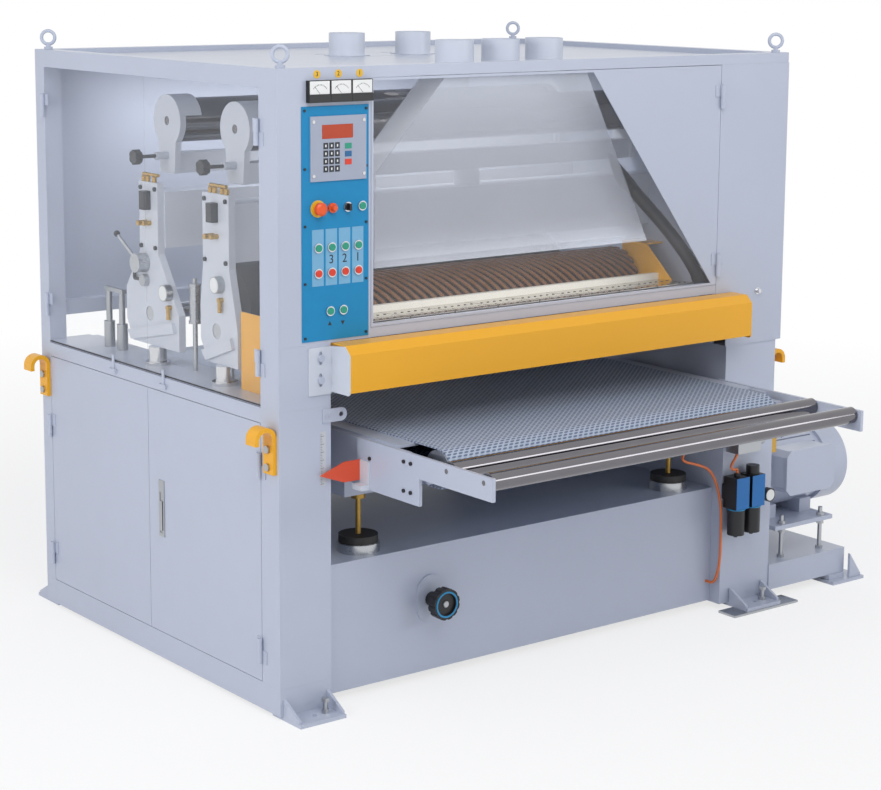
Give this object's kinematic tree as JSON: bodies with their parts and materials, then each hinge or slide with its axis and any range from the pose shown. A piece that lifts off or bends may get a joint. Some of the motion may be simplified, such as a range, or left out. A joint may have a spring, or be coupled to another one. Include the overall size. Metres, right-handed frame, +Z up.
{
  "type": "wide belt sander",
  "caption": "Industrial wide belt sander: feed belt table that rises on screws under two sanding heads, clear side doors, windowed front door, control column, dust outlets and head motors.",
  "frame": {"origin": "on the floor in the middle of the four floor anchor holes", "axes": "+X towards the drive side with the motors, +Y along the feed from the infeed side, +Z up"},
  "size_m": [2.7262, 2.3191, 2.0692],
  "materials": {
    "body_paint": "smooth pale blue-grey enamel",
    "yellow_paint": "smooth yellow enamel",
    "panel_blue": "satin blue front plate",
    "instrument": "moulded instrument housings",
    "steel": "machined steel",
    "zinc_bolts": "zinc plated fasteners",
    "chrome": "ground and plated rollers",
    "brass": "turned brass",
    "black_plastic": "black moulded plastic",
    "regulator": "black moulded housings with clear bowls",
    "clear_sheet": "clear plastic sheet",
    "door_paint": "enamelled door frame round a clear pane",
    "rubber_grooved": "ground brown rubber with spiral grooves",
    "rubber_black": "ground black rubber",
    "belt_rubber": "grey rough-top conveyor rubber",
    "drive_rubber": "black ribbed drive belt",
    "hose": "black hose and orange air tube",
    "pointer": "orange-red enamel",
    "button_green": "green push-button cap",
    "button_red": "red push-button cap"
  },
  "bodies": {
    "machine": {"base_frame": "body_paint", "levelling_feet": "zinc_bolts", "electrical_cabinet": "body_paint", "upper_frame": "body_paint", "cover_panels": "body_paint", "control_box": "body_paint", "control_plate": "panel_blue", "panel_instruments": "instrument", "dust_spigots": "body_paint", "lifting_eyebolts": "body_paint", "dust_hood": "clear_sheet", "drum_guards": "yellow_paint", "pressure_shoes": "steel", "head_frames": "body_paint", "head_fittings": "brass", "transport_hooks": "yellow_paint", "filter_regulator": "regulator", "head_motors": "body_paint", "drive_belts": "drive_rubber", "hoses": "hose", "screw_jacks": "steel"},
    "table": {"conveyor_frame": "body_paint", "feed_belt": "belt_rubber", "height_pointer": "pointer", "lift_screws": "brass"},
    "handwheel": {"handwheel": "black_plastic"},
    "drive_drum": {"drive_drum": "rubber_black"},
    "idler_drum": {"idler_drum": "steel"},
    "infeed_roller_outer": {"infeed_roller_outer": "chrome"},
    "infeed_roller_inner": {"infeed_roller_inner": "chrome"},
    "guard_bar": {"guard_bar": "yellow_paint"},
    "spiral_drum": {"spiral_drum": "rubber_grooved"},
    "contact_drum_rear": {"contact_drum_rear": "rubber_black"},
    "motor_pulley_front": {"motor_pulley_front": "steel"},
    "motor_pulley_rear": {"motor_pulley_rear": "steel"},
    "idler_yoke_front": {"idler_yoke_front": "body_paint"},
    "idler_yoke_rear": {"idler_yoke_rear": "body_paint"},
    "idler_roller_front": {"idler_roller_front": "chrome"},
    "idler_roller_rear": {"idler_roller_rear": "chrome"},
    "tracking_knob_front": {"tracking_knob_front": "black_plastic"},
    "tracking_knob_rear": {"tracking_knob_rear": "black_plastic"},
    "clamp_lever": {"clamp_lever": "steel"},
    "cabinet_door_front": {"cabinet_door_front": "body_paint"},
    "cabinet_door_rear": {"cabinet_door_rear": "body_paint"},
    "side_door_front": {"side_door_front": "clear_sheet"},
    "side_door_rear": {"side_door_rear": "clear_sheet"},
    "front_door": {"front_door": "door_paint"},
    "e_stop_button": {"e_stop_button": "button_red"},
    "selector_knob": {"selector_knob": "black_plastic"},
    "green_button": {"green_button": "button_green"},
    "table_up_button": {"table_up_button": "button_green"},
    "table_down_button": {"table_down_button": "button_green"},
    "start_button_feed": {"start_button_feed": "button_green"},
    "start_button_3": {"start_button_3": "button_green"},
    "start_button_2": {"start_button_2": "button_green"},
    "start_button_1": {"start_button_1": "button_green"},
    "stop_button_feed": {"stop_button_feed": "button_red"},
    "stop_button_3": {"stop_button_3": "button_red"},
    "stop_button_2": {"stop_button_2": "button_red"},
    "stop_button_1": {"stop_button_1": "button_red"}
  },
  "joints": [
    {"name": "table_lift", "type": "slide", "parent": "machine", "child": "table", "axis": [0, 0, 1], "range_m": [-0.02, 0.13]},
    {"name": "handwheel_turn", "type": "hinge", "parent": "machine", "child": "handwheel", "pos_m": [-0.446, -0.725, 0.268], "axis": [0, -1, 0], "range_deg": [-720.5, 4680.5]},
    {"name": "drive_drum_turn", "type": "hinge", "parent": "table", "child": "drive_drum", "pos_m": [0.022, 0.835, 0.7997], "axis": [1, 0, 0], "continuous": true},
    {"name": "idler_drum_turn", "type": "hinge", "parent": "table", "child": "idler_drum", "pos_m": [0.022, -1.055, 0.7997], "axis": [1, 0, 0], "continuous": true},
    {"name": "infeed_roller_outer_turn", "type": "hinge", "parent": "table", "child": "infeed_roller_outer", "pos_m": [0.022, -1.382, 0.835], "axis": [1, 0, 0], "continuous": true},
    {"name": "infeed_roller_inner_turn", "type": "hinge", "parent": "table", "child": "infeed_roller_inner", "pos_m": [0.022, -1.207, 0.835], "axis": [1, 0, 0], "continuous": true},
    {"name": "guard_bar_set", "type": "slide", "parent": "machine", "child": "guard_bar", "axis": [0, 0, 1], "range_m": [-0.015, 0.015]},
    {"name": "spiral_drum_turn", "type": "hinge", "parent": "machine", "child": "spiral_drum", "pos_m": [0.022, -0.295, 1.145], "axis": [1, 0, 0], "continuous": true},
    {"name": "contact_drum_rear_turn", "type": "hinge", "parent": "machine", "child": "contact_drum_rear", "pos_m": [0.022, 0.125, 1.145], "axis": [1, 0, 0], "continuous": true},
    {"name": "motor_pulley_front_turn", "type": "hinge", "parent": "machine", "child": "motor_pulley_front", "pos_m": [0.947, -0.53, 0.42], "axis": [1, 0, 0], "continuous": true},
    {"name": "motor_pulley_rear_turn", "type": "hinge", "parent": "machine", "child": "motor_pulley_rear", "pos_m": [0.947, -0.065, 0.42], "axis": [1, 0, 0], "continuous": true},
    {"name": "yoke_steer_front", "type": "hinge", "parent": "machine", "child": "idler_yoke_front", "pos_m": [0.022, -0.295, 1.6], "axis": [0, 0, 1], "range_deg": [-1.2, 1.2]},
    {"name": "idler_roller_front_turn", "type": "hinge", "parent": "idler_yoke_front", "child": "idler_roller_front", "pos_m": [0.022, -0.295, 1.785], "axis": [1, 0, 0], "continuous": true},
    {"name": "tracking_knob_front_turn", "type": "hinge", "parent": "idler_yoke_front", "child": "tracking_knob_front", "pos_m": [-1.023, -0.295, 1.67], "axis": [1, 0, 0], "range_deg": [-361, 361]},
    {"name": "yoke_steer_rear", "type": "hinge", "parent": "machine", "child": "idler_yoke_rear", "pos_m": [0.022, 0.125, 1.6], "axis": [0, 0, 1], "range_deg": [-1.2, 1.2]},
    {"name": "idler_roller_rear_turn", "type": "hinge", "parent": "idler_yoke_rear", "child": "idler_roller_rear", "pos_m": [0.022, 0.125, 1.785], "axis": [1, 0, 0], "continuous": true},
    {"name": "tracking_knob_rear_turn", "type": "hinge", "parent": "idler_yoke_rear", "child": "tracking_knob_rear", "pos_m": [-1.023, 0.125, 1.67], "axis": [1, 0, 0], "range_deg": [-361, 361]},
    {"name": "clamp_lever_turn", "type": "hinge", "parent": "machine", "child": "clamp_lever", "pos_m": [-0.993, 0.15, 1.315], "axis": [-1, 0, 0], "range_deg": [0, 90]},
    {"name": "cabinet_door_front_swing", "type": "hinge", "parent": "machine", "child": "cabinet_door_front", "pos_m": [-1.072, -0.665, 0.5], "axis": [0, 0, 1], "range_deg": [0, 90]},
    {"name": "cabinet_door_rear_swing", "type": "hinge", "parent": "machine", "child": "cabinet_door_rear", "pos_m": [-1.072, 0.7, 0.5], "axis": [0, 0, -1], "range_deg": [0, 90]},
    {"name": "side_door_front_swing", "type": "hinge", "parent": "machine", "child": "side_door_front", "pos_m": [-1.072, -0.665, 1.45], "axis": [0, 0, 1], "range_deg": [0, 110]},
    {"name": "side_door_rear_swing", "type": "hinge", "parent": "machine", "child": "side_door_rear", "pos_m": [-1.072, 0.7, 1.45], "axis": [0, 0, -1], "range_deg": [0, 110]},
    {"name": "front_door_swing", "type": "hinge", "parent": "machine", "child": "front_door", "pos_m": [0.772, -0.774, 1.58], "axis": [0, 0, 1], "range_deg": [0, 100]},
    {"name": "e_stop_button_press", "type": "slide", "parent": "machine", "child": "e_stop_button", "axis": [0, 1, 0], "range_m": [0, 0.004], "stiffness_N_per_m": 400, "springref_m": -0.002},
    {"name": "green_button_press", "type": "slide", "parent": "machine", "child": "green_button", "axis": [0, 1, 0], "range_m": [0, 0.004], "stiffness_N_per_m": 400, "springref_m": -0.002},
    {"name": "start_button_feed_press", "type": "slide", "parent": "machine", "child": "start_button_feed", "axis": [0, 1, 0], "range_m": [0, 0.004], "stiffness_N_per_m": 400, "springref_m": -0.002},
    {"name": "start_button_3_press", "type": "slide", "parent": "machine", "child": "start_button_3", "axis": [0, 1, 0], "range_m": [0, 0.004], "stiffness_N_per_m": 400, "springref_m": -0.002},
    {"name": "start_button_2_press", "type": "slide", "parent": "machine", "child": "start_button_2", "axis": [0, 1, 0], "range_m": [0, 0.004], "stiffness_N_per_m": 400, "springref_m": -0.002},
    {"name": "start_button_1_press", "type": "slide", "parent": "machine", "child": "start_button_1", "axis": [0, 1, 0], "range_m": [0, 0.004], "stiffness_N_per_m": 400, "springref_m": -0.002},
    {"name": "stop_button_feed_press", "type": "slide", "parent": "machine", "child": "stop_button_feed", "axis": [0, 1, 0], "range_m": [0, 0.004], "stiffness_N_per_m": 400, "springref_m": -0.002},
    {"name": "stop_button_3_press", "type": "slide", "parent": "machine", "child": "stop_button_3", "axis": [0, 1, 0], "range_m": [0, 0.004], "stiffness_N_per_m": 400, "springref_m": -0.002},
    {"name": "stop_button_2_press", "type": "slide", "parent": "machine", "child": "stop_button_2", "axis": [0, 1, 0], "range_m": [0, 0.004], "stiffness_N_per_m": 400, "springref_m": -0.002},
    {"name": "stop_button_1_press", "type": "slide", "parent": "machine", "child": "stop_button_1", "axis": [0, 1, 0], "range_m": [0, 0.004], "stiffness_N_per_m": 400, "springref_m": -0.002},
    {"name": "table_up_button_press", "type": "slide", "parent": "machine", "child": "table_up_button", "axis": [0, 1, 0], "range_m": [0, 0.004], "stiffness_N_per_m": 400, "springref_m": -0.002},
    {"name": "table_down_button_press", "type": "slide", "parent": "machine", "child": "table_down_button", "axis": [0, 1, 0], "range_m": [0, 0.004], "stiffness_N_per_m": 400, "springref_m": -0.002},
    {"name": "selector_knob_turn", "type": "hinge", "parent": "machine", "child": "selector_knob", "pos_m": [-0.813, -0.775, 1.578], "axis": [0, -1, 0], "range_deg": [-45, 45]}
  ],
  "couplings": [
    {"joint": "handwheel_turn", "follows": "table_lift", "rad_per_m": 628.32},
    {"joint": "idler_drum_turn", "follows": "drive_drum_turn", "ratio": 1},
    {"joint": "motor_pulley_front_turn", "follows": "spiral_drum_turn", "ratio": 0.88889},
    {"joint": "motor_pulley_rear_turn", "follows": "contact_drum_rear_turn", "ratio": 0.88889},
    {"joint": "tracking_knob_front_turn", "follows": "yoke_steer_front", "ratio": 300},
    {"joint": "tracking_knob_rear_turn", "follows": "yoke_steer_rear", "ratio": 300}
  ]
}
